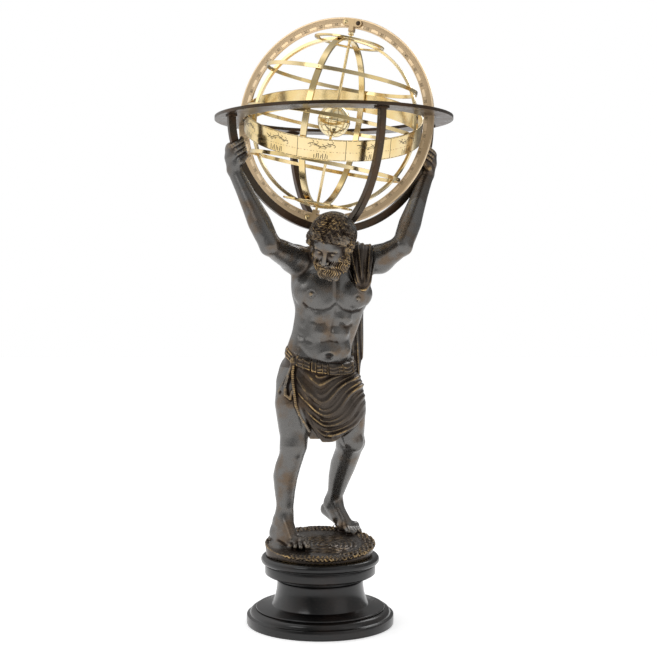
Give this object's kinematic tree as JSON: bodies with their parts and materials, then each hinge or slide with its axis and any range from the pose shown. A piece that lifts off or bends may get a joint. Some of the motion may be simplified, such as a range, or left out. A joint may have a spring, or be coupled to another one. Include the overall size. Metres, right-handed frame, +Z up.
{
  "type": "armillary sphere on an atlas statue",
  "caption": "Bearded Atlas in a loincloth, cast in dark bronze, lifting a brass armillary sphere on a cradle, on a turned black plinth.",
  "frame": {"origin": "centre of the plinth's round underside, in the plane it stands on", "axes": "+Z up; the figure faces -Y, and +X is to the right of someone who faces it"},
  "size_m": [0.3, 0.3, 0.762],
  "materials": {
    "dark_bronze": "dark patinated bronze, satin, rubbed golden on edges",
    "oxidised_bronze": "dark brown oxidised bronze, brushed, satin",
    "pale_brass": "pale rose brass, matte brushed, engraved",
    "polished_brass": "polished yellow brass, lacquered",
    "black_lacquer": "glossy black lacquer on turned wood"
  },
  "bodies": {
    "stand": {"plinth": "black_lacquer", "atlas_figure": "dark_bronze", "cradle": "oxidised_bronze", "horizon_ring": "oxidised_bronze", "meridian_ring": "pale_brass", "pole_bracket_north": "pale_brass", "pole_bracket_south": "pale_brass"},
    "celestial_sphere": {"polar_axis": "polished_brass", "globe": "polished_brass", "solstitial_colure": "polished_brass", "equinoctial_colure": "polished_brass", "equator_ring": "polished_brass", "tropic_of_cancer_ring": "polished_brass", "tropic_of_capricorn_ring": "polished_brass", "arctic_ring": "polished_brass", "antarctic_ring": "polished_brass", "zodiac_band": "polished_brass"}
  },
  "joints": [
    {"name": "celestial_spin", "type": "hinge", "parent": "stand", "child": "celestial_sphere", "pos_m": [0.01672, 0.00012, 0.62835], "axis": [0.1939, -0.047, 0.9799], "continuous": true}
  ]
}
